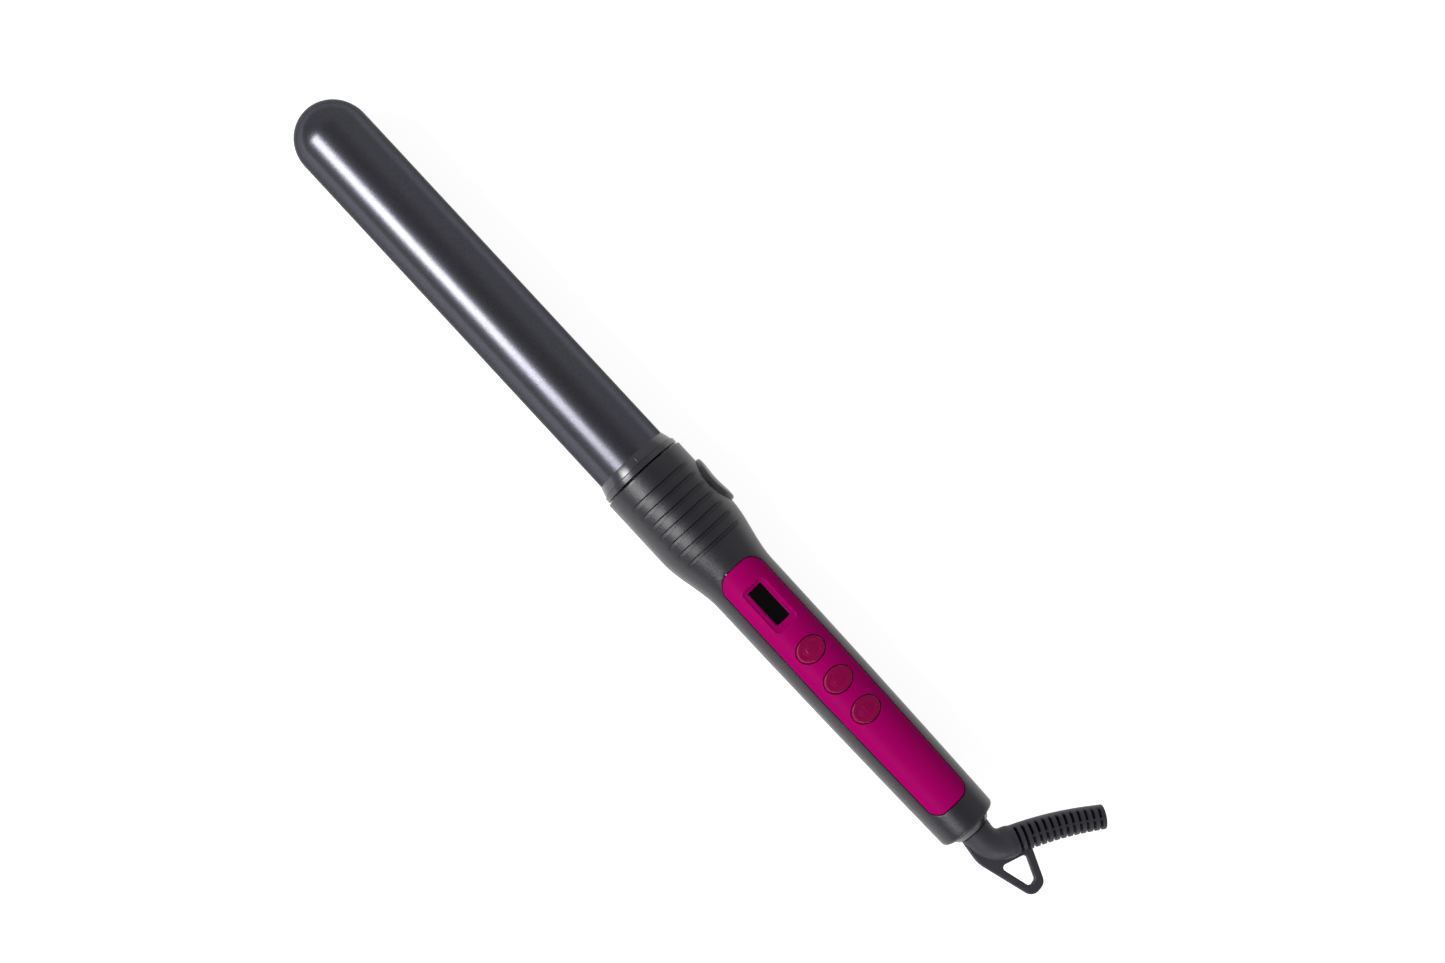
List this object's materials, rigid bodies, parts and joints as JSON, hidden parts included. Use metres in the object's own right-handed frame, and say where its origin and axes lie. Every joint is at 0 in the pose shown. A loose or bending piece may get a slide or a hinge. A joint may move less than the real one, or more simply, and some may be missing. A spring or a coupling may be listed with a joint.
{
  "type": "curling iron",
  "caption": "Clipless curling wand: domed coated barrel that unplugs from a tapered handle with a display, press buttons, a release button and a swivelling cord boot with a hanging loop.",
  "frame": {"origin": "on the barrel's axis, where the barrel leaves its collar", "axes": "+X along the axis to the barrel's tip, +Z out of the control panel, release button on the -Y side"},
  "size_m": [0.4241, 0.0624, 0.037],
  "materials": {
    "barrel_coating": "satin sparkle coating on aluminium",
    "collar_plastic": "glossy heat-resistant plastic",
    "case_plastic": "satin moulded plastic",
    "release_plastic": "glossy moulded plastic",
    "panel_plastic": "satin magenta plastic",
    "button_plastic": "satin magenta plastic, slightly darker",
    "window_plastic": "black glossy window",
    "bush_plastic": "glossy bearing plastic",
    "boot_pvc": "matt dark grey flexible moulding",
    "plug_plastic": "glass-filled heat-resistant plastic",
    "aluminium": "extruded",
    "steel": "zinc-plated",
    "spring_steel": "spring wire",
    "contact_brass": "plated contact brass",
    "heater_ceramic": null,
    "film": "amber polyimide film",
    "mica": "mica sheet",
    "sensor_glass": "glass-coated bead and sleeve",
    "wire_insulation": "silicone insulation",
    "board": "glass-epoxy circuit board",
    "chip_epoxy": "moulded epoxy",
    "capacitor_film": "yellow capacitor case"
  },
  "bodies": {
    "handle": {"front_shell": "case_plastic", "rear_shell": "case_plastic", "control_panel": "panel_plastic", "display_window": "window_plastic", "display_module": "chip_epoxy", "circuit_board": "board", "tact_switches": "chip_epoxy", "microcontroller": "chip_epoxy", "triac": "chip_epoxy", "film_capacitor": "capacitor_film", "smoothing_capacitor": "aluminium", "buzzer": "chip_epoxy", "board_screws": "steel", "barrel_socket": "plug_plastic", "socket_contacts": "contact_brass", "socket_leads": "wire_insulation", "latch_spring": "spring_steel", "release_spring": "spring_steel", "housing_screws": "steel", "swivel_bush": "bush_plastic", "brush_block": "plug_plastic", "brushes": "contact_brass", "mains_leads": "wire_insulation"},
    "barrel": {"barrel_tube": "barrel_coating", "barrel_collar": "collar_plastic", "plug_carrier": "plug_plastic", "contact_pins": "contact_brass", "collar_screws": "steel", "upper_heat_spreader": "aluminium", "lower_heat_spreader": "aluminium", "ptc_stones": "heater_ceramic", "heater_electrodes": "aluminium", "heater_film": "film", "temperature_sensor": "sensor_glass", "thermal_fuse": "aluminium", "mica_disc": "mica", "heater_leads": "wire_insulation", "sensor_leads": "wire_insulation"},
    "power_button": {"power_button": "button_plastic", "power_plunger": "plug_plastic"},
    "minus_button": {"minus_button": "button_plastic", "minus_plunger": "plug_plastic"},
    "plus_button": {"plus_button": "button_plastic", "plus_plunger": "plug_plastic"},
    "release_button": {"release_button": "release_plastic"},
    "cord_boot": {"cord_boot": "boot_pvc", "swivel_stem": "plug_plastic", "slip_rings": "contact_brass", "stem_clip": "spring_steel"}
  },
  "joints": [
    {"name": "barrel_pull", "type": "slide", "parent": "handle", "child": "barrel", "axis": [1, 0, 0], "range_m": [0, 0.045], "deforming": ["latch_spring"]},
    {"name": "release_press", "type": "slide", "parent": "handle", "child": "release_button", "axis": [0, 1, 0], "range_m": [0, 0.0016], "stiffness_N_per_m": 3000, "springref_m": -0.001, "deforming": ["release_spring"]},
    {"name": "power_press", "type": "slide", "parent": "handle", "child": "power_button", "axis": [0, 0, -1], "range_m": [0, 0.0006], "stiffness_N_per_m": 1800, "springref_m": -0.0004},
    {"name": "minus_press", "type": "slide", "parent": "handle", "child": "minus_button", "axis": [0, 0, -1], "range_m": [0, 0.0006], "stiffness_N_per_m": 1800, "springref_m": -0.0004},
    {"name": "plus_press", "type": "slide", "parent": "handle", "child": "plus_button", "axis": [0, 0, -1], "range_m": [0, 0.0006], "stiffness_N_per_m": 1800, "springref_m": -0.0004},
    {"name": "boot_swivel", "type": "hinge", "parent": "handle", "child": "cord_boot", "pos_m": [-0.1973, 0, 0], "axis": [1, 0, 0], "continuous": true}
  ]
}
